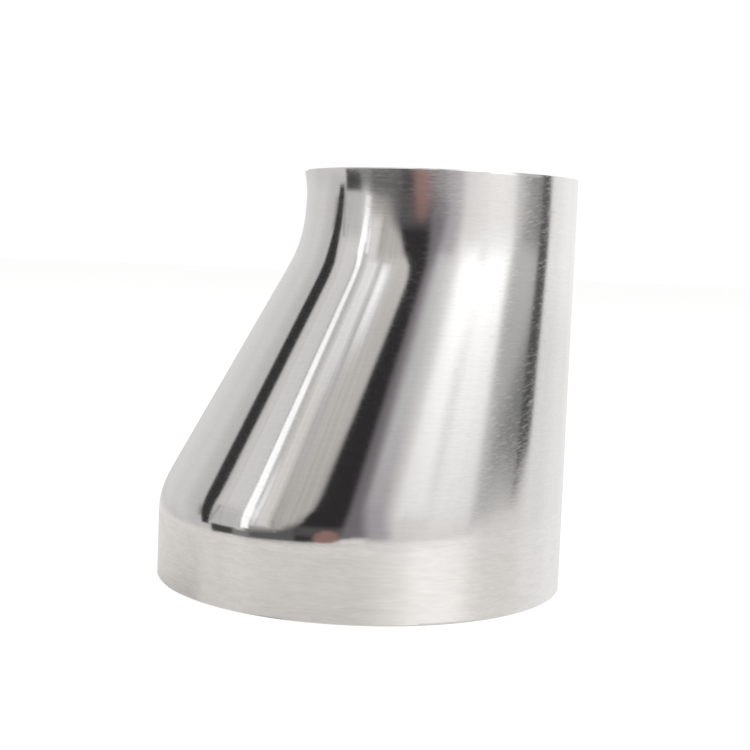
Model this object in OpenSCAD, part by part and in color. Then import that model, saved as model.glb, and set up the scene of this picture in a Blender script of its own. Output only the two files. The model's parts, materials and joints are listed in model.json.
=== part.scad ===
// Eccentric weld reducer for polished stainless steel tube.
// A large end ring, an eccentric body with one straight side, and a small end ring,
// each rolled from strip or sheet and closed by a seam weld, then joined by two girth welds.
// Every weld is ground flush. Millimetres, +Z up. The large end stands on z = 0 with its
// centre on the origin, and the straight side lies along +X.

/* [Tube sizes] */
// Outside diameter of the large end
large_od = 76.2; // [70:0.1:80]
// Outside diameter of the small end
small_od = 50.8; // [46:0.1:56]
// Wall thickness of every piece
wall = 1.65; // [1.2:0.05:2.2]

/* [Lengths] */
// Overall length, from end face to end face
total_h = 76; // [72:0.5:90]
// Straight length at the large end, below the first bend
large_tangent = 12; // [10:0.5:16]
// Straight length at the small end, above the second bend
small_tangent = 9; // [7:0.5:12]

/* [Bends] */
// Outside radius of the bend out of the large end, measured on the sloping side
large_bend_r = 14; // [8:0.5:16]
// Outside radius of the bend into the small end, measured on the sloping side
small_bend_r = 16; // [8:0.5:20]

/* [Welds] */
// Width of the two girth welds, along the tube
girth_weld_w = 2; // [1.5:0.1:2.5]
// Width of a seam weld where it meets the large end, round the tube
seam_weld_w = 2; // [1.5:0.1:2.5]
// Straight lip of the body between a girth weld and the bend
body_lip = 1; // [0.5:0.1:2]
// Angle of the body's seam weld round from the straight side
body_seam_at = 50; // [20:1:160]
// Angle of the large end ring's seam weld
large_seam_at = 128; // [20:1:160]
// Angle of the small end ring's seam weld
small_seam_at = 98; // [20:1:160]

/* [Edges] */
// Deburring chamfer on the edges of both cut ends
edge_chamfer = 0.2; // [0.1:0.05:0.4]

/* [Hidden] */

large_r = large_od / 2;
small_r = small_od / 2;
// The small end's centre, which puts both ends' outsides on one line at +X
offset_x = large_r - small_r;
// x of the small end's outside on the sloping side
small_left_x = large_r - small_od;

// Heights of the two bends' centres
large_bend_z = large_tangent;
small_bend_z = total_h - small_tangent;

// Heights where one piece ends and the next begins
body_z0 = large_tangent - body_lip;
body_z1 = small_bend_z + body_lip;
large_ring_z1 = body_z0 - girth_weld_w;
small_ring_z0 = body_z1 + girth_weld_w;

// Slope of the straight line that is tangent to both bends, from the vertical
bend_sum = large_bend_r + small_bend_r;
bend_rise = small_bend_z - large_bend_z;
bend_gap = bend_sum - (small_left_x + large_r);
slope = asin(bend_sum / norm([bend_rise, bend_gap])) - atan2(bend_gap, bend_rise);

// The seam welds span a constant angle, so the body's narrows with the body
seam_angle = seam_weld_w / large_r * 180 / PI;

// Facets of the body round its whole circle, and stations in each bend
body_steps = 72;
bend_steps = 9;
seam_steps = 2;
$fn = 144;

// ---- End rings and girth welds ---------------------------------------------

// Half section of a straight wall from z0 to z1, with a chamfer on its cut end:
// cut is -1 for an end at z0, 1 for an end at z1 and 0 for none.
module wall_section(outer_r, z0, z1, cut) {
    inner_r = outer_r - wall;
    c0 = cut == -1 ? edge_chamfer : 0;
    c1 = cut == 1 ? edge_chamfer : 0;
    polygon(concat(
        [[inner_r + c0, z0], [outer_r - c0, z0]],
        cut == -1 ? [[outer_r, z0 + c0]] : [],
        cut == 1 ? [[outer_r, z1 - c1]] : [],
        [[outer_r - c1, z1], [inner_r + c1, z1]],
        cut == 1 ? [[inner_r, z1 - c1]] : [],
        cut == -1 ? [[inner_r, z0 + c0]] : []
    ));
}

// The wall turned round the tube's axis through span degrees, from the angle from
module turned_wall(outer_r, z0, z1, cut, from = 0, span = 360) {
    rotate([0, 0, from])
        rotate_extrude(angle = span)
            wall_section(outer_r, z0, z1, cut);
}

// An end ring, open where its seam weld goes
module ring_strip(outer_r, z0, z1, cut, seam_at) {
    turned_wall(outer_r, z0, z1, cut, seam_at + seam_angle / 2, 360 - seam_angle);
}

// The seam weld that closes an end ring
module ring_seam(outer_r, z0, z1, cut, seam_at) {
    turned_wall(outer_r, z0, z1, cut, seam_at - seam_angle / 2, seam_angle);
}

module large_end_ring() {
    color("gainsboro") ring_strip(large_r, 0, large_ring_z1, -1, large_seam_at);
}

module large_ring_seam_weld() {
    color("darkgray") ring_seam(large_r, 0, large_ring_z1, -1, large_seam_at);
}

module large_girth_weld() {
    color("darkgray") turned_wall(large_r, large_ring_z1, body_z0, 0);
}

module small_girth_weld() {
    color("darkgray")
        translate([offset_x, 0, 0])
            turned_wall(small_r, body_z1, small_ring_z0, 0);
}

module small_end_ring() {
    color("gainsboro")
        translate([offset_x, 0, 0])
            ring_strip(small_r, small_ring_z0, total_h, 1, small_seam_at);
}

module small_ring_seam_weld() {
    color("darkgray")
        translate([offset_x, 0, 0])
            ring_seam(small_r, small_ring_z0, total_h, 1, small_seam_at);
}

// ---- Eccentric body ---------------------------------------------------------
// Every level section is a circle that touches the straight side, so one outline on the
// sloping side gives the whole surface. depth is 0 on the outside and wall on the inside.

// Stations [z, x] of the sloping side's outline, from the bottom to the top
function sloping_side(depth) = concat(
    [[body_z0, depth - large_r]],
    [for (i = [0 : bend_steps])
        let (a = slope * i / bend_steps, r = large_bend_r - depth)
            [large_bend_z + r * sin(a), large_bend_r - large_r - r * cos(a)]],
    [for (i = [bend_steps : -1 : 0])
        let (a = slope * i / bend_steps, r = small_bend_r + depth)
            [small_bend_z - r * sin(a), small_left_x - small_bend_r + r * cos(a)]],
    [[body_z1, small_left_x + depth]]
);

// One level section's points, at each angle
function section_points(station, depth, angles) =
    let (r = (large_r - depth - station[1]) / 2, centre = large_r - depth - r)
        [for (a = angles) [centre + r * cos(a), r * sin(a), station[0]]];

// Two triangles between corners a, b, c and d, split along a-c
function quad(a, b, c, d) = [[a, b, c], [a, c, d]];

// The part of the body's wall from one angle to another, as a closed solid.
// Points come as rows: the outside's stations, then the inside's.
module body_sector(from, to, steps) {
    angles = [for (i = [0 : steps]) from + (to - from) * i / steps];
    outside = sloping_side(0);
    inside = sloping_side(wall);
    rows = len(outside);
    points = [
        for (s = outside) each section_points(s, 0, angles),
        for (s = inside) each section_points(s, wall, angles),
    ];
    function out(row, col) = row * (steps + 1) + col;
    function in(row, col) = (rows + row) * (steps + 1) + col;
    top = rows - 1;
    faces = [
        for (r = [0 : top - 1], c = [0 : steps - 1])
            each quad(out(r, c), out(r + 1, c), out(r + 1, c + 1), out(r, c + 1)),
        for (r = [0 : top - 1], c = [0 : steps - 1])
            each quad(in(r, c), in(r, c + 1), in(r + 1, c + 1), in(r + 1, c)),
        for (c = [0 : steps - 1])
            each quad(out(0, c), out(0, c + 1), in(0, c + 1), in(0, c)),
        for (c = [0 : steps - 1])
            each quad(out(top, c), in(top, c), in(top, c + 1), out(top, c + 1)),
        for (r = [0 : top - 1])
            each quad(out(r, 0), in(r, 0), in(r + 1, 0), out(r + 1, 0)),
        for (r = [0 : top - 1])
            each quad(out(r, steps), out(r + 1, steps), in(r + 1, steps), in(r, steps)),
    ];
    polyhedron(points = points, faces = faces, convexity = 8);
}

module eccentric_body() {
    color("silver")
        body_sector(body_seam_at + seam_angle / 2,
                    body_seam_at + 360 - seam_angle / 2, body_steps);
}

module body_seam_weld() {
    color("darkgray")
        body_sector(body_seam_at - seam_angle / 2,
                    body_seam_at + seam_angle / 2, seam_steps);
}

large_end_ring();
large_ring_seam_weld();
large_girth_weld();
eccentric_body();
body_seam_weld();
small_girth_weld();
small_end_ring();
small_ring_seam_weld();
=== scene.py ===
"""Looks for the eccentric reducer: a sloping body of stainless steel between two end rings.

Everything is in metres, in the part's own frame: the large end stands on z = 0 with its
centre on the origin, and the straight side lies along +X.
"""
import json
import math

import bpy
from mathutils import Matrix, Vector


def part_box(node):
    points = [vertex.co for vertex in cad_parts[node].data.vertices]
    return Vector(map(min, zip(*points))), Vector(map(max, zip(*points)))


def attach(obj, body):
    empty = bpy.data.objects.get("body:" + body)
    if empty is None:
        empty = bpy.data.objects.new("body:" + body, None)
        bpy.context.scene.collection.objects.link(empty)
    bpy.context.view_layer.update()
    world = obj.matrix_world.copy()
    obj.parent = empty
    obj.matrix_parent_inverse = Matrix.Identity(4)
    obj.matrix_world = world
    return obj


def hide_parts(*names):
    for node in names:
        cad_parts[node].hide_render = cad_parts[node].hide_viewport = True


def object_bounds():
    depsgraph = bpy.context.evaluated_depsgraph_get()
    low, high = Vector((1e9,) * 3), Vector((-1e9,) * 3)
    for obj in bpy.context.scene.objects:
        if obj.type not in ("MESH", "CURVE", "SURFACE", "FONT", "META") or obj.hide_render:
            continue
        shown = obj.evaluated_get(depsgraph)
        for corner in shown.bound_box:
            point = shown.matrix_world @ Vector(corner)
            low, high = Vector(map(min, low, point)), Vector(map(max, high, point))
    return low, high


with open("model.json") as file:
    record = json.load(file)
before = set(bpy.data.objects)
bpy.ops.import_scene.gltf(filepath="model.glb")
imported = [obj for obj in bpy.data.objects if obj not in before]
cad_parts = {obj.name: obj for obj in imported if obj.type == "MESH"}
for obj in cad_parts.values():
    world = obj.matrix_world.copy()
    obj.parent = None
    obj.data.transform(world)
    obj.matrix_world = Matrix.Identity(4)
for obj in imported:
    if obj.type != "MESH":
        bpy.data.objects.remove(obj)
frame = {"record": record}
cad_low, cad_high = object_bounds()

MM = 0.001

# ---- Shape, from the frame ---------------------------------------------------

mounts = {m["name"]: m for m in frame["record"]["mounts"]}
large_r = mounts["large_end_outside"]["dims"]["r_mm"] * MM
small_r = mounts["small_end_outside"]["dims"]["r_mm"] * MM
wall = large_r - mounts["large_end_bore"]["dims"]["r_mm"] * MM
total_h = cad_high.z
ring_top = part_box("large_end_ring")[1].z
body_z0, body_z1 = (corner.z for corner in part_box("eccentric_body"))
small_ring_z0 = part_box("small_end_ring")[0].z

# Bends of the sloping side, and how far each straight end runs past its girth weld
BODY_LIP = 1.0 * MM
LARGE_BEND_R = 14.0 * MM
SMALL_BEND_R = 16.0 * MM
EDGE_CHAMFER = 0.2 * MM

# Pressing the upper bend draws the sloping side in by a hair at the neck, and the rim
# springs back out. The greater a spread, the closer this keeps to the far sloping side.
DRAW_IN = 0.42 * MM
DRAW_IN_FROM_Z, DRAW_IN_TO_Z = 62.0 * MM, 72.0 * MM
DRAW_IN_SPREAD = 1.5
FLARE = 0.57 * MM
FLARE_FROM_Z = 71.0 * MM
FLARE_SPREAD = 4

# A pressed bend runs out gently: how far each bend eases into the straight wall beside it.
# At the lower bend this starts from nothing and grows with height.
LOWER_EASE = 3.0 * MM
UPPER_EASE = 4.5 * MM
EASE_GROWTH = 0.6
EASE_STEPS = 8

# Seam welds, as angles round from the straight side, away from the camera
SEAM_ANGLE = math.degrees(2.0 * MM / large_r)
LARGE_SEAM_AT = 128.0
BODY_SEAM_AT = 50.0
SMALL_SEAM_AT = 98.0

# Mesh fineness, and the angle between two faces from which their corner is sharp
STEP_DEGREES = 1.0
BEND_STEPS = 28
SLOPE_STEPS = 40
STATION_GAP = 0.4 * MM
SHARP_DEGREES = 20

large_bend_z = body_z0 + BODY_LIP
small_bend_z = body_z1 - BODY_LIP
small_left_x = large_r - 2 * small_r
bend_sum = LARGE_BEND_R + SMALL_BEND_R
bend_rise = small_bend_z - large_bend_z
bend_gap = bend_sum - (small_left_x + large_r)
slope = math.asin(bend_sum / math.hypot(bend_rise, bend_gap)) - math.atan2(bend_gap, bend_rise)


def sloping_x(z):
    """x of the sloping side's outside at height z, with two plain round bends."""
    above_large = z - large_bend_z
    below_small = small_bend_z - z
    if above_large <= 0:
        return -large_r
    if below_small <= 0:
        return small_left_x
    if above_large < LARGE_BEND_R * math.sin(slope):
        return LARGE_BEND_R - large_r - math.sqrt(LARGE_BEND_R ** 2 - above_large ** 2)
    if below_small < SMALL_BEND_R * math.sin(slope):
        return small_left_x - SMALL_BEND_R + math.sqrt(SMALL_BEND_R ** 2 - below_small ** 2)
    start_z = large_bend_z + LARGE_BEND_R * math.sin(slope)
    start_x = LARGE_BEND_R * (1 - math.cos(slope)) - large_r
    return start_x + (z - start_z) * math.tan(slope)


def eased(z):
    """How much further in the sloping side is at height z once its bends run out gently."""
    if z <= large_bend_z:
        return 0.0
    if z < (large_bend_z + small_bend_z) / 2:
        reach = min(LOWER_EASE, EASE_GROWTH * (z - large_bend_z))
    else:
        reach = UPPER_EASE
    total = weights = 0.0
    for i in range(1 - EASE_STEPS, EASE_STEPS):
        weight = EASE_STEPS - abs(i)
        total += weight * sloping_x(z + reach * i / EASE_STEPS)
        weights += weight
    return total / weights - sloping_x(z)


def draw_in(z, angle):
    """How far the wall is drawn in at height z and an angle round from the straight side."""
    sloping = (1 - math.cos(angle)) / 2
    t = min(max((z - DRAW_IN_FROM_Z) / (DRAW_IN_TO_Z - DRAW_IN_FROM_Z), 0), 1)
    u = max((z - FLARE_FROM_Z) / (total_h - FLARE_FROM_Z), 0)
    return (DRAW_IN * t * t * (3 - 2 * t) * sloping ** DRAW_IN_SPREAD
            - FLARE * u * u * sloping ** FLARE_SPREAD + eased(z) * sloping)


def between(low, high):
    """Evenly spaced heights from low to high, both ends included."""
    count = max(1, round((high - low) / STATION_GAP))
    return [low + (high - low) * i / count for i in range(count + 1)]


def sloping_side(depth):
    """Stations (z, x) of the body's sloping side, depth inside its outer face."""
    large, small = LARGE_BEND_R - depth, SMALL_BEND_R + depth
    lower = [(z, depth - large_r) for z in between(body_z0, large_bend_z)[:-1]]
    upper = [(z, small_left_x + depth) for z in between(small_bend_z, body_z1)[:0:-1]]
    for i in range(BEND_STEPS + 1):
        a = slope * i / BEND_STEPS
        lower.append((large_bend_z + large * math.sin(a),
                      LARGE_BEND_R - large_r - large * math.cos(a)))
        upper.append((small_bend_z - small * math.sin(a),
                      small_left_x - SMALL_BEND_R + small * math.cos(a)))
    (z0, x0), (z1, x1) = lower[-1], upper[-1]
    for i in range(1, SLOPE_STEPS):
        t = i / SLOPE_STEPS
        lower.append((z0 + (z1 - z0) * t, x0 + (x1 - x0) * t))
    return lower + upper[::-1]


def straight_side(left, z0, z1, depth, cut):
    """Stations (z, x) of a straight end's wall. cut is -1 or 1 at a cut end, 0 for none."""
    inset = EDGE_CHAMFER if depth == 0 else -EDGE_CHAMFER
    low = z0 + EDGE_CHAMFER if cut == -1 else z0
    high = z1 - EDGE_CHAMFER if cut == 1 else z1
    stations = [(z, left + depth) for z in between(low, high)]
    if cut == -1:
        stations.insert(0, (z0, stations[0][1] + inset))
    if cut == 1:
        stations.append((z1, stations[-1][1] + inset))
    return stations


def level_circle(station, depth):
    """Centre x and radius of one level section, which touches the straight side."""
    r = (large_r - depth - station[1]) / 2
    return large_r - depth - r, r


def shell(name, outside, inside, start=0.0, span=360.0):
    """A closed wall between two rows of level circles, through span degrees from start.

    Corners between its faces are sharp, and the rest is smooth.
    """
    whole = span >= 360.0
    steps = max(3, round(span / STEP_DEGREES))
    columns = steps if whole else steps + 1
    loops = [(s, 0.0) for s in outside] + [(s, wall) for s in reversed(inside)]
    points = []
    for station, depth in loops:
        cx, r = level_circle(station, depth)
        for c in range(columns):
            a = math.radians(start + span * c / steps)
            out = r - draw_in(station[0], a)
            points.append((cx + out * math.cos(a), out * math.sin(a), station[0]))
    rows = len(loops)
    faces = []
    for row in range(rows):
        below, above = row * columns, (row + 1) % rows * columns
        for c in range(steps):
            d = (c + 1) % columns
            faces.append((below + c, below + d, above + d, above + c))
    if not whole:
        faces += end_caps(len(outside), len(inside), columns)
    mesh = bpy.data.meshes.new(name)
    mesh.from_pydata(points, [], faces)
    mesh.validate()
    mesh.shade_smooth()
    mesh.set_sharp_from_angle(angle=math.radians(SHARP_DEGREES))
    piece = bpy.data.objects.new(name, mesh)
    bpy.context.collection.objects.link(piece)
    return piece


def end_caps(outer_rows, inner_rows, columns):
    """Faces that close the two cut sides of a wall that doesn't go all the way round."""
    rows = outer_rows + inner_rows
    caps = []
    for side in (0, columns - 1):
        for i in range(min(outer_rows, inner_rows) - 1):
            a, b = i, i + 1
            c, d = rows - 2 - i, rows - 1 - i
            cap = [n * columns + side for n in (a, b, c, d)]
            caps.append(tuple(cap if side else cap[::-1]))
    return caps


# ---- Materials ---------------------------------------------------------------

class Nodes:
    """A small helper that adds nodes to a tree and wires them."""

    # A Mix node's sockets for colours, and how much each finer layer of a noise counts
    COLOUR_A, COLOUR_B, COLOUR_OUT = 6, 7, 2
    NOISE_ROUGHNESS = 0.6

    def __init__(self, tree):
        self.tree = tree

    def add(self, kind, **settings):
        node = self.tree.nodes.new(kind)
        for key, value in settings.items():
            setattr(node, key, value)
        return node

    def feed(self, socket, value):
        if isinstance(value, bpy.types.NodeSocket):
            self.tree.links.new(value, socket)
        else:
            socket.default_value = value

    def math(self, operation, a, b=0.0, clamp=False):
        node = self.add("ShaderNodeMath", operation=operation, use_clamp=clamp)
        self.feed(node.inputs[0], a)
        self.feed(node.inputs[1], b)
        return node.outputs[0]

    def ramp(self, value, low, high, to_low=0.0, to_high=1.0, smooth=True):
        """value mapped from low..high to to_low..to_high, held at both ends."""
        node = self.add("ShaderNodeMapRange", clamp=True)
        node.interpolation_type = "SMOOTHSTEP" if smooth else "LINEAR"
        for socket, v in zip(node.inputs, (value, low, high, to_low, to_high)):
            self.feed(socket, v)
        return node.outputs[0]

    def mix(self, factor, a, b):
        node = self.add("ShaderNodeMix", data_type="RGBA")
        self.feed(node.inputs["Factor"], factor)
        self.feed(node.inputs[self.COLOUR_A], a)
        self.feed(node.inputs[self.COLOUR_B], b)
        return node.outputs[self.COLOUR_OUT]

    def scratches(self, where, along, across, tilt, detail, seed):
        """Noise drawn out round the tube: along and across are a mark's sizes in metres."""
        shear = self.add("ShaderNodeVectorMath", operation="DOT_PRODUCT")
        self.feed(shear.inputs[0], where)
        shear.inputs[1].default_value = (tilt[0] / across, tilt[1] / across, 1 / across)
        x, y, _ = self.split(where)
        spot = self.add("ShaderNodeCombineXYZ")
        self.feed(spot.inputs[0], self.math("MULTIPLY", x, 1 / along))
        self.feed(spot.inputs[1], self.math("MULTIPLY", y, 1 / along))
        self.feed(spot.inputs[2], self.math("ADD", shear.outputs["Value"], seed))
        noise = self.add("ShaderNodeTexNoise", noise_dimensions="3D")
        self.feed(noise.inputs["Vector"], spot.outputs[0])
        noise.inputs["Scale"].default_value = 1.0
        noise.inputs["Detail"].default_value = detail
        noise.inputs["Roughness"].default_value = self.NOISE_ROUGHNESS
        return noise.outputs["Fac"]

    def split(self, vector):
        node = self.add("ShaderNodeSeparateXYZ")
        self.feed(node.inputs[0], vector)
        return node.outputs


# Where the polish changes: the satin band at the large end ends inside the lower bend, and
# the polish gets coarser towards the straight side and hazier at the small end
SATIN_FROM_Z, SATIN_TO_Z = 12.8 * MM, 12.0 * MM
SATIN_TILT = 0.04
SMALL_END_FROM_Z, SMALL_END_TO_Z = 58.0 * MM, 70.0 * MM
COARSE_FROM_X, COARSE_TO_X = -4.0 * MM, 22.0 * MM
HAZE_FROM_X, HAZE_TO_X = -10.0 * MM, 2.0 * MM
HAZE_ON_SLOPE = 0.4

# Painted light in the steel's colour: near the straight side a painted shade darkens it low down
# and a painted highlight brightens it high up
PAINTED_LIGHT_FROM_Z, PAINTED_LIGHT_TO_Z = 44.0 * MM, 63.0 * MM
PAINTED_LIGHT_FROM_X, PAINTED_LIGHT_TO_X = -14.0 * MM, 8.0 * MM
PAINTED_SHADE_LOW, PAINTED_HIGHLIGHT_HIGH = -0.055, 0.08

# Roughness of each zone, and how much a stroke or a brush line adds
ROUGH_MIRROR = 0.07
ROUGH_COARSE = 0.12
ROUGH_SMALL_END = 0.13
ROUGH_SATIN = 0.20
ROUGH_STROKE = 0.08
ROUGH_HAZE = 0.03

# Noises on the steel: how far a mark runs round the tube, how wide it is, how much it climbs
# along x and y, its detail, and a seed that sets it apart
MOTTLE = (1.1 * MM, 0.32 * MM, (0.10, 0.14), 3.0, 0.0)
CROSSED = (1.7 * MM, 0.40 * MM, (-0.22, -0.10), 2.0, 7.0)
BRUSH = (9.0 * MM, 0.30 * MM, (0.01, 0.02), 4.0, 3.0)
CLOUDY = (4.5 * MM, 1.1 * MM, (0.05, 0.03), 4.0, 11.0)
RIPPLE = (16.0 * MM, 9.0 * MM, (0.2, 0.1), 1.0, 5.0)

# Each effect's range of its noise, then what the two ends of that range give
STROKES = (0.48, 0.72, 0.0, 1.0)
HAZE = (0.35, 0.70, 0.0, 1.0)
SPECKLE = (0.3, 0.7, -0.02, 0.03)
MARKS_LOW, MARKS_HIGH = 0.3, 0.7
MARKS_DARKEST, MARKS_BRIGHTEST = 0.965, 1.02
CLOUDS = (0.3, 0.7, -0.045, 0.035)
FLECKS = (0.35, 0.65, -0.025, 0.02)

# How the brush lines and the crossed scratches share the marks in the colour
BRUSH_SHARE, CROSSED_SHARE = 0.6, 0.4

# Heights of the relief, in metres
SCRATCH_RELIEF = 2.0e-6
SCRATCHES_EVERYWHERE = 0.03
LINE_RELIEF = 0.8e-6
SATIN_LINE_RELIEF = 0.5e-6
SMALL_END_LINE_RELIEF = 0.5e-6
GRAIN_RELIEF = 4.0e-6
WAVE_RELIEF = 12e-6


def steel(name, colour, tone=1.0, extra_roughness=0.0, anisotropy=0.35):
    """Stainless steel whose polish follows its place on the part."""
    material = bpy.data.materials.new(name)
    material.use_nodes = True
    tree = material.node_tree
    n = Nodes(tree)
    shader = tree.nodes["Principled BSDF"]
    shader.inputs["Metallic"].default_value = 1.0
    shader.inputs["Anisotropic"].default_value = anisotropy
    n.feed(shader.inputs["Tangent"], n.add("ShaderNodeTangent", direction_type="RADIAL",
                                           axis="Z").outputs[0])
    where = n.add("ShaderNodeTexCoord").outputs["Object"]
    x, _, z = n.split(where)

    tilted = n.math("SUBTRACT", z, n.math("MULTIPLY", n.math("ADD", x, large_r), SATIN_TILT))
    satin = n.ramp(tilted, SATIN_TO_Z, SATIN_FROM_Z, 1.0, 0.0)
    small_end = n.math("MULTIPLY", n.ramp(z, SMALL_END_FROM_Z, SMALL_END_TO_Z),
                       n.ramp(x, HAZE_FROM_X, HAZE_TO_X, HAZE_ON_SLOPE, 1.0))
    coarse = n.ramp(x, COARSE_FROM_X, COARSE_TO_X)

    mottle = n.scratches(where, *MOTTLE)
    crossed = n.scratches(where, *CROSSED)
    brush = n.scratches(where, *BRUSH)
    cloudy = n.scratches(where, *CLOUDY)
    ripple = n.scratches(where, *RIPPLE)
    strokes = n.math("MULTIPLY", n.ramp(crossed, *STROKES), coarse)
    haze = n.math("MULTIPLY", n.ramp(brush, *HAZE), small_end)

    # Roughness: a base for each zone, rougher where a stroke or a brush line runs
    rough = n.math("ADD", n.math("MULTIPLY", coarse, ROUGH_COARSE - ROUGH_MIRROR), ROUGH_MIRROR)
    rough = n.math("MAXIMUM", rough, n.math("MULTIPLY", small_end, ROUGH_SMALL_END))
    rough = n.math("ADD", rough, n.math("MULTIPLY", strokes, ROUGH_STROKE))
    rough = n.math("ADD", rough, n.math("MULTIPLY", haze, ROUGH_HAZE))
    rough = n.math("MAXIMUM", rough, n.math("MULTIPLY", satin, ROUGH_SATIN))
    speckle = n.ramp(mottle, *SPECKLE, smooth=False)
    rough = n.math("ADD", n.math("ADD", rough, speckle), extra_roughness, clamp=True)
    n.feed(shader.inputs["Roughness"], rough)

    # Colour: faint lighter and darker brush marks, cloudier ones on the satin band, and painted
    # light near the straight side
    marks = n.math("ADD", n.math("MULTIPLY", brush, BRUSH_SHARE),
                   n.math("MULTIPLY", crossed, CROSSED_SHARE))
    shade = n.ramp(marks, MARKS_LOW, MARKS_HIGH, MARKS_DARKEST * tone, MARKS_BRIGHTEST * tone,
                   smooth=False)
    clouds = n.ramp(cloudy, *CLOUDS, smooth=False)
    shade = n.math("ADD", shade, n.math("MULTIPLY", clouds, satin))
    flecks = n.ramp(mottle, *FLECKS, smooth=False)
    shade = n.math("ADD", shade, n.math("MULTIPLY", flecks, coarse))
    # Painted shade low down and painted highlight high up near the straight side, left off the
    # satin band
    painted_light = n.math("MULTIPLY", n.ramp(z, PAINTED_LIGHT_FROM_Z, PAINTED_LIGHT_TO_Z, PAINTED_SHADE_LOW, PAINTED_HIGHLIGHT_HIGH),
                  n.ramp(x, PAINTED_LIGHT_FROM_X, PAINTED_LIGHT_TO_X))
    shade = n.math("ADD", shade, n.math("MULTIPLY", painted_light, n.math("SUBTRACT", 1.0, satin)))
    tint = n.add("ShaderNodeVectorMath", operation="SCALE")
    tint.inputs[0].default_value = colour
    n.feed(tint.inputs["Scale"], shade)
    n.feed(shader.inputs["Base Color"], tint.outputs[0])

    # Relief: short crossed scratches, brush lines, the satin's grain and slow waves
    scratch_level = n.math("ADD", n.math("MAXIMUM", coarse, small_end), SCRATCHES_EVERYWHERE)
    relief = n.math("MULTIPLY", n.math("ADD", mottle, crossed), SCRATCH_RELIEF)
    relief = n.math("MULTIPLY", relief, scratch_level)
    fine_lines = n.math("ADD", n.math("MULTIPLY", satin, SATIN_LINE_RELIEF),
                        n.math("MULTIPLY", small_end, SMALL_END_LINE_RELIEF))
    lines = n.math("MULTIPLY", brush, n.math("ADD", fine_lines, LINE_RELIEF))
    grain = n.math("MULTIPLY", n.math("MULTIPLY", mottle, satin), GRAIN_RELIEF)
    waves = n.math("MULTIPLY", ripple, WAVE_RELIEF)
    relief = n.math("ADD", n.math("ADD", relief, grain), n.math("ADD", lines, waves))
    bump = n.add("ShaderNodeBump")
    bump.inputs["Strength"].default_value = 1.0
    bump.inputs["Distance"].default_value = 1.0
    n.feed(bump.inputs["Height"], relief)
    n.feed(shader.inputs["Normal"], bump.outputs[0])
    return material


POLISHED = (0.86, 0.855, 0.85)
SATIN = (0.86, 0.85, 0.84)
polished_steel = steel("polished_steel", POLISHED)
satin_steel = steel("satin_steel", SATIN)
brushed_steel = steel("brushed_steel", POLISHED)
ground_weld = steel("ground_weld", SATIN, tone=0.998, extra_roughness=0.004)

MATERIALS = {
    "polished_steel": polished_steel,
    "satin_steel": satin_steel,
    "brushed_steel": brushed_steel,
    "ground_weld": ground_weld,
}


# ---- Pieces ------------------------------------------------------------------

def straight_wall(name, left, z0, z1, cut, start=0.0, span=360.0):
    """The wall of a straight end, or a sector of it. left is x on the sloping side."""
    return shell(name, straight_side(left, z0, z1, 0.0, cut),
                 straight_side(left, z0, z1, wall, cut), start, span)


def body_wall(name, start, span):
    """A sector of the sloping body's wall."""
    return shell(name, sloping_side(0.0), sloping_side(wall), start, span)


def place(piece, node, slot):
    """Puts a finished piece where its CAD node is."""
    piece.data.materials.append(MATERIALS[slot])
    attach(piece, "root")
    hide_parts(node)


def strip_and_seam(make, seam_at):
    """A rolled strip and the seam weld that closes it."""
    strip = make("strip", seam_at + SEAM_ANGLE / 2, 360.0 - SEAM_ANGLE)
    seam = make("seam", seam_at - SEAM_ANGLE / 2, SEAM_ANGLE)
    return strip, seam


strip, seam = strip_and_seam(
    lambda name, start, span: straight_wall("large_end_" + name, -large_r, 0.0, ring_top, -1,
                                            start, span), LARGE_SEAM_AT)
place(strip, "large_end_ring", "satin_steel")
place(seam, "large_ring_seam_weld", "ground_weld")

strip, seam = strip_and_seam(lambda name, start, span: body_wall("body_" + name, start, span),
                             BODY_SEAM_AT)
place(strip, "eccentric_body", "polished_steel")
place(seam, "body_seam_weld", "ground_weld")

strip, seam = strip_and_seam(
    lambda name, start, span: straight_wall("small_end_" + name, small_left_x, small_ring_z0,
                                            total_h, 1, start, span), SMALL_SEAM_AT)
place(strip, "small_end_ring", "brushed_steel")
place(seam, "small_ring_seam_weld", "ground_weld")

place(straight_wall("large_girth", -large_r, ring_top, body_z0, 0),
      "large_girth_weld", "ground_weld")
place(straight_wall("small_girth", small_left_x, body_z1, small_ring_z0, 0),
      "small_girth_weld", "ground_weld")


# ---- Camera ------------------------------------------------------------------

# Azimuth 0 looks straight along +Y, and grows as the camera moves towards +X
CAMERA_AZIMUTH = math.radians(-0.9)
CAMERA_ELEVATION = math.radians(5.25)
CAMERA_ROLL = math.radians(2.3)
CAMERA_DISTANCE = 266.5 * MM
CAMERA_AIM = Vector((1.75, 0.0, 38.2)) * MM
CAMERA_LENS = 67.46
SENSOR_WIDTH = 36.0
CLIP_START, CLIP_END = 0.01, 50.0


def make_camera():
    """The camera at the photograph's place. back points from its aim to the lens."""
    back = Vector((math.sin(CAMERA_AZIMUTH) * math.cos(CAMERA_ELEVATION),
                   -math.cos(CAMERA_AZIMUTH) * math.cos(CAMERA_ELEVATION),
                   math.sin(CAMERA_ELEVATION)))
    level = Vector((0, 0, 1)).cross(back).normalized()
    upright = back.cross(level)
    c, s = math.cos(CAMERA_ROLL), math.sin(CAMERA_ROLL)
    right, up = level * c + upright * s, upright * c - level * s
    data = bpy.data.cameras.new("camera")
    data.sensor_width = SENSOR_WIDTH
    data.lens = CAMERA_LENS
    data.clip_start, data.clip_end = CLIP_START, CLIP_END
    camera = bpy.data.objects.new("camera", data)
    bpy.context.collection.objects.link(camera)
    rotation = Matrix((right, up, back)).transposed().to_4x4()
    camera.matrix_world = Matrix.Translation(CAMERA_AIM + back * CAMERA_DISTANCE) @ rotation
    bpy.context.scene.camera = camera


make_camera()


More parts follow.
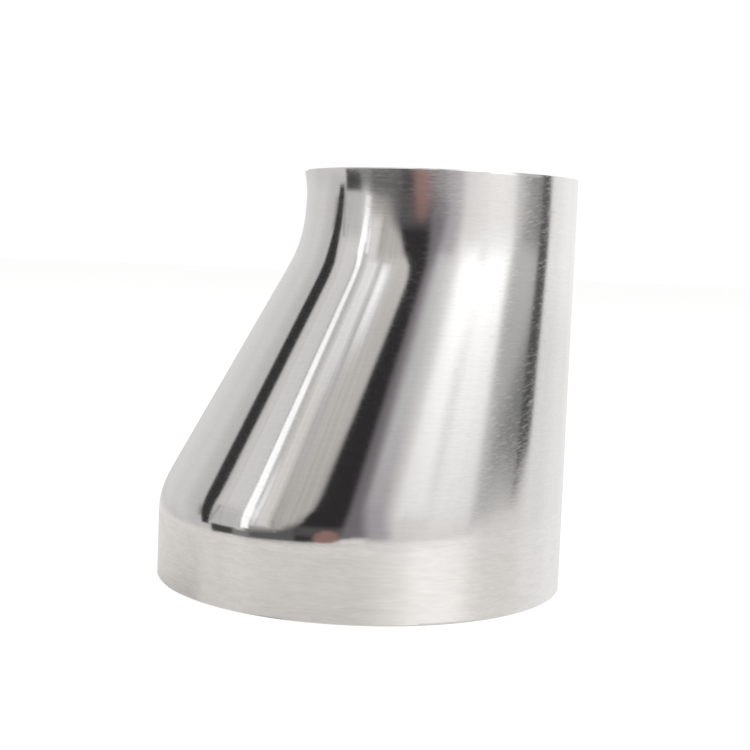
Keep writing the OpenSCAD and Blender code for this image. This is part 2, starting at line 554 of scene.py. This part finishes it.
# ---- Studio ------------------------------------------------------------------
# The steel mirrors what stands round it, so the surroundings are painted on the world by
# direction: (azimuth, elevation) in degrees, where azimuth 0 is behind the camera and grows
# towards +X. To the left the uprights lean, and azimuth is counted along them. FAR and SKY lie
# beyond every direction, so a patch that runs that far has no edge there.

WHITE = (1.0, 1.0, 1.0)
LEAN = 0.4
LEAN_FROM, LEAN_TO = -40, -130
FAR = 400
SKY = 120


def grey(level, warmth=0.0):
    """A grey, a little warmer or, below zero, a little cooler than neutral."""
    return (level * (1 + warmth), level, level * (1 - warmth))


def violet(level):
    """A grey with a faint violet cast."""
    return (level * 1.07, level, level * 1.06)


def wall_from(azimuth, low, azimuth_to=FAR, high=SKY):
    """A patch with upright sides and level ends."""
    return ((azimuth, low), (azimuth_to, low), (azimuth_to, high), (azimuth, high))


# Each patch is painted over those before it, and the first over the table's own grey: its
# corners, going round by way of the right, then how soft its edge is in degrees, then its colour
TABLE = grey(0.67, 0.04)
WARM = (0.25, 0.145, 0.13)
PATCHES = [
    # Brighter and darker parts of the table
    (wall_from(-80, -SKY, -62), 9, grey(0.71, 0.04)),
    (wall_from(8, -SKY), 10, grey(0.70, 0.03)),
    (wall_from(26, -SKY, 60), 8, grey(0.905, 0.02)),
    (wall_from(62, -SKY), 6, grey(0.65, 0.03)),
    (wall_from(34, -12.5, 64, -4.5), 6, grey(0.86, 0.02)),
    (wall_from(100, -SKY), 6, grey(0.73, 0.03)),
    (wall_from(-FAR, -SKY, -164), 12, grey(0.70, 0.01)),
    # Painted shade: steeply down, close to the part, the table is darker, as in the shadow the
    # part casts on it
    (wall_from(-FAR, -SKY, -104, -14.4), 2, grey(0.20, 0.02)),
    (wall_from(-104, -SKY, 10, -15.8), 1.5, grey(0.36, 0.02)),
    (wall_from(-FAR, -SKY, FAR, -25), 4, grey(0.60, 0.03)),
    # The room on the left
    (wall_from(-FAR, -7, -88), 3, grey(0.48, 0.02)),
    (wall_from(-FAR, -4, -113), 8, grey(0.58, 0.02)),
    (wall_from(-FAR, -4, -140), 14, grey(0.62, 0.01)),
    (wall_from(-93, 0, -30), 1.6, grey(0.52, 0.03)),
    (wall_from(-91, -1, -71.5, 15), 4, grey(0.46, 0.01)),
    (wall_from(-85, 19, -70), 4, grey(0.585, 0.02)),
    # Left: a light panel, which fades down to something dark on its right
    (((-65.5, -6.3), (-26, -4.6), (-26, 30), (-65.5, 12)), 2, grey(0.095)),
    (((-62, 2.6), (-50, 4.2), (-46, 5.8), (-42, 8.3), (-38, 11.5), (-34, 15.6), (-16, 45),
      (-62, 60)), 4.5, grey(0.405, 0.05)),
    (wall_from(-50, 28, -22), 3, grey(0.47, 0.04)),
    (wall_from(-60, 7, -52.3), 2.5, grey(0.62, 0.03)),
    (((-50, 6), (-44, 6), (-47, 26), (-51.5, 26)), 2, grey(0.375, 0.05)),
    (((-48, 2), (-46.8, 2), (-49.6, 14), (-50.8, 14)), 0.6, grey(0.27)),
    (wall_from(-59, 32, -49.5), 2.5, grey(0.73)),
    (wall_from(-40.5, 33.5, -36), 2.5, grey(0.60)),
    (wall_from(-46, 33.2, -40), 2, grey(0.90)),
    (wall_from(-48.4, 27, -46.4, 35), 0.8, grey(0.42)),
    # Left: dark uprights, and the bright and dark edges of the panel's pleats
    (((-91.0, 2), (-89.8, 2), (-85.0, 16), (-86.5, 16)), 0.6, grey(0.29)),
    (wall_from(-101.4, 3.5, -91, 11), 2.5, grey(0.26)),
    (((-97.8, -1.5), (-92.2, -1.5), (-90.6, 9), (-88.4, 36), (-101.4, 36)), 1.1, grey(0.030)),
    (((-70.1, 2), (-68.7, 2), (-68.7, 36), (-69.9, 36)), 0.4, grey(0.36)),
    (((-68.2, 2.5), (-63.6, 2.5), (-63.2, 18), (-64.8, 36), (-67.5, 36), (-68.9, 25)), 0.9,
     grey(1.06)),
    (((-62.2, 6), (-61.4, 6), (-59.6, 16), (-59.6, 27), (-62.2, 27)), 0.8, grey(0.80)),
    (((-63.8, 21), (-62.6, 21), (-62.2, 40), (-63.6, 40)), 0.5, grey(0.40)),
    # Left: the dark strip under them, above the table
    (((-90.0, -6.4), (-73, -5.4), (-73, 0.7), (-90.0, 0.4)), 1.0, grey(0.05)),
    (wall_from(-74, -6.0, -63, 0), 1.4, grey(0.18)),
    # Middle: something dark, with a warm patch low down
    (((-36, -3.7), (-20, -3.5), (-6, 1), (-6, 30), (-8, 45), (-20.5, 33.5), (-26, 28),
      (-29.3, 23.5), (-32.6, 17), (-35.5, 9)), 1.6, violet(0.024)),
    (((-36, 1.5), (-7, 0), (-8, 9), (-34.5, 10)), 3, violet(0.075)),
    (((-26, -1), (-24, -4.6), (-16, -4.4), (-11.5, -1.8), (-12.5, 4), (-17, 6.6), (-21, 6.6),
      (-24.5, 3.5)), 1.8, WARM),
    # Right: walls that get brighter, and brighter still higher up
    (((-11, 0.2), (62, -3), (62, 60), (-6, 60)), 2.5, violet(0.15)),
    (((3.7, -2.5), (62, -4), (62, 60), (-10.3, 60)), 4, violet(0.33)),
    (((1, 21), (30, 17), (30, 60), (-2, 60)), 4, grey(0.50)),
    (((16.3, -4.8), (62, -4.8), (62, 60), (3.5, 60)), 5, grey(0.645, 0.025)),
    (wall_from(34, -3, 62), 6, grey(0.735, 0.02)),
    (((19, 12.5), (60, 5), (60, 60), (14.5, 60)), 5, grey(0.84, 0.01)),
    (((21, 19.5), (59, 10), (60, 60), (17, 60)), 6, grey(1.12)),
    (wall_from(32.5, 8, 39, 16.5), 2.5, grey(0.76)),
    (wall_from(62, -1, 100), 5, grey(0.42, 0.02)),
    (wall_from(100, -FAR), 2, grey(0.73, 0.015)),
    (wall_from(122, -FAR), 8, grey(0.775, 0.01)),
    # Right: a dark doorway past the grey wall, and a dark wedge before it
    (((69, 3), (90, -3), (99, -2), (99, 4), (69, 4.2)), 1.6, grey(0.19)),
    (wall_from(88.6, -2.8, 100.2), 0.8, grey(0.065)),
    # Behind the object, as seen from its far side
    (wall_from(171, -3, 178, 24), 1.0, grey(0.25)),
    (wall_from(-FAR, 6, -163, 34), 1.5, grey(1.0)),
    # Straight up and straight down, which the chamfered edges mirror: dark overhead, and
    # straight down a painted shadow of the floor under the part's edge
    (wall_from(-FAR, 66), 8, grey(0.05)),
    (wall_from(110, -SKY, FAR, -62), 8, grey(0.08)),
    (wall_from(-FAR, -SKY, -110, -62), 8, grey(0.08)),
]

# Upright streaks, as in pleats and panel joints: corners and softness of the stretch that has
# them, streaks to a degree, then the darkest and the brightest
STREAKS = [
    (wall_from(-92, 1, -31), 2, 0.55, 0.87, 1.10),
    (wall_from(10, -3, 62), 5, 0.16, 0.95, 1.04),
    (wall_from(-FAR, -12, FAR), 6, 0.05, 0.97, 1.03),
]
STREAK_LOW, STREAK_HIGH = 0.3, 0.7
STREAK_DETAIL = 3.0

# Makes up for what the steel takes away, so that a patch's level is what the render shows
MIRROR_GAIN = 1.16


def within(n, spot, corners, soft):
    """1 inside a patch and 0 outside it, with a soft edge."""
    inside = None
    for (a0, e0), (a1, e1) in zip(corners, corners[1:] + corners[:1]):
        length = math.hypot(a1 - a0, e1 - e0)
        across, up = (e0 - e1) / length, (a1 - a0) / length
        side = n.add("ShaderNodeVectorMath", operation="DOT_PRODUCT")
        n.feed(side.inputs[0], spot)
        side.inputs[1].default_value = (across, up, -across * a0 - up * e0)
        side = side.outputs["Value"]
        inside = side if inside is None else n.math("MINIMUM", inside, side)
    return n.ramp(inside, -soft, soft)


def paint_world():
    """Plain white as the camera sees it, and the painted studio as the steel mirrors it."""
    world = bpy.data.worlds.new("studio")
    bpy.context.scene.world = world
    world.use_nodes = True
    tree = world.node_tree
    n = Nodes(tree)
    direction = n.add("ShaderNodeTexCoord").outputs["Generated"]
    x, y, z = n.split(direction)
    azimuth = n.math("DEGREES", n.math("ARCTAN2", x, n.math("MULTIPLY", y, -1.0)))
    elevation = n.math("DEGREES", n.math("ARCSINE", z))
    lean = n.ramp(azimuth, LEAN_FROM, LEAN_TO, 0.0, LEAN, smooth=False)
    azimuth = n.math("ADD", azimuth, n.math("MULTIPLY", elevation, lean))
    spot = n.add("ShaderNodeCombineXYZ")
    n.feed(spot.inputs[0], azimuth)
    n.feed(spot.inputs[1], elevation)
    spot.inputs[2].default_value = 1.0
    colour = (*TABLE, 1.0)
    for corners, soft, rgb in PATCHES:
        colour = n.mix(within(n, spot.outputs[0], corners, soft), colour, (*rgb, 1.0))
    for corners, soft, per_degree, darkest, brightest in STREAKS:
        noise = n.add("ShaderNodeTexNoise", noise_dimensions="1D")
        n.feed(noise.inputs["W"], n.math("MULTIPLY", azimuth, per_degree))
        noise.inputs["Scale"].default_value = 1.0
        noise.inputs["Detail"].default_value = STREAK_DETAIL
        streak = n.ramp(noise.outputs["Fac"], STREAK_LOW, STREAK_HIGH,
                        darkest - 1, brightest - 1, smooth=False)
        streak = n.math("MULTIPLY", streak, within(n, spot.outputs[0], corners, soft))
        shaded = n.add("ShaderNodeVectorMath", operation="SCALE")
        n.feed(shaded.inputs[0], colour)
        n.feed(shaded.inputs["Scale"], n.math("ADD", streak, 1.0))
        colour = shaded.outputs[0]
    mirrored = tree.nodes["Background"]
    n.feed(mirrored.inputs["Color"], colour)
    mirrored.inputs["Strength"].default_value = MIRROR_GAIN
    plain = n.add("ShaderNodeBackground")
    plain.inputs["Color"].default_value = (*WHITE, 1.0)
    seen = n.add("ShaderNodeMixShader")
    n.feed(seen.inputs[0], n.add("ShaderNodeLightPath").outputs["Is Camera Ray"])
    n.feed(seen.inputs[1], mirrored.outputs[0])
    n.feed(seen.inputs[2], plain.outputs[0])
    n.feed(tree.nodes["World Output"].inputs["Surface"], seen.outputs[0])


FLOOR_HALF = 3.0
FLOOR_DROP = 0.02 * MM
FLOOR_GREY = 0.30
FLOOR_GLOW = 0.80

LIGHT_SIZE = 1.2
LIGHT_POWER = 6.0
LIGHT_PLACE = (0.1, -0.1, 1.0)


def make_floor():
    """A pale level floor, bright enough to run into the background."""
    half = FLOOR_HALF
    mesh = bpy.data.meshes.new("floor")
    mesh.from_pydata([(-half, -half, 0), (half, -half, 0), (half, half, 0), (-half, half, 0)],
                     [], [(0, 1, 2, 3)])
    floor = bpy.data.objects.new("floor", mesh)
    bpy.context.collection.objects.link(floor)
    floor.location.z = -FLOOR_DROP
    material = bpy.data.materials.new("pale_floor")
    material.use_nodes = True
    shader = material.node_tree.nodes["Principled BSDF"]
    shader.inputs["Base Color"].default_value = (FLOOR_GREY, FLOOR_GREY, FLOOR_GREY, 1.0)
    shader.inputs["Roughness"].default_value = 1.0
    shader.inputs["Specular IOR Level"].default_value = 0.0
    shader.inputs["Emission Color"].default_value = (*WHITE, 1.0)
    shader.inputs["Emission Strength"].default_value = FLOOR_GLOW
    floor.data.materials.append(material)
    floor.visible_glossy = False


def make_light():
    """One wide soft light overhead, for the floor."""
    data = bpy.data.lights.new("soft_light", "AREA")
    data.shape = "DISK"
    data.size = LIGHT_SIZE
    data.energy = LIGHT_POWER
    light = bpy.data.objects.new("soft_light", data)
    bpy.context.collection.objects.link(light)
    light.location = LIGHT_PLACE
    light.visible_glossy = False


paint_world()
make_floor()
make_light()

view = bpy.context.scene.view_settings
view.view_transform = "Standard"
view.look = "None"
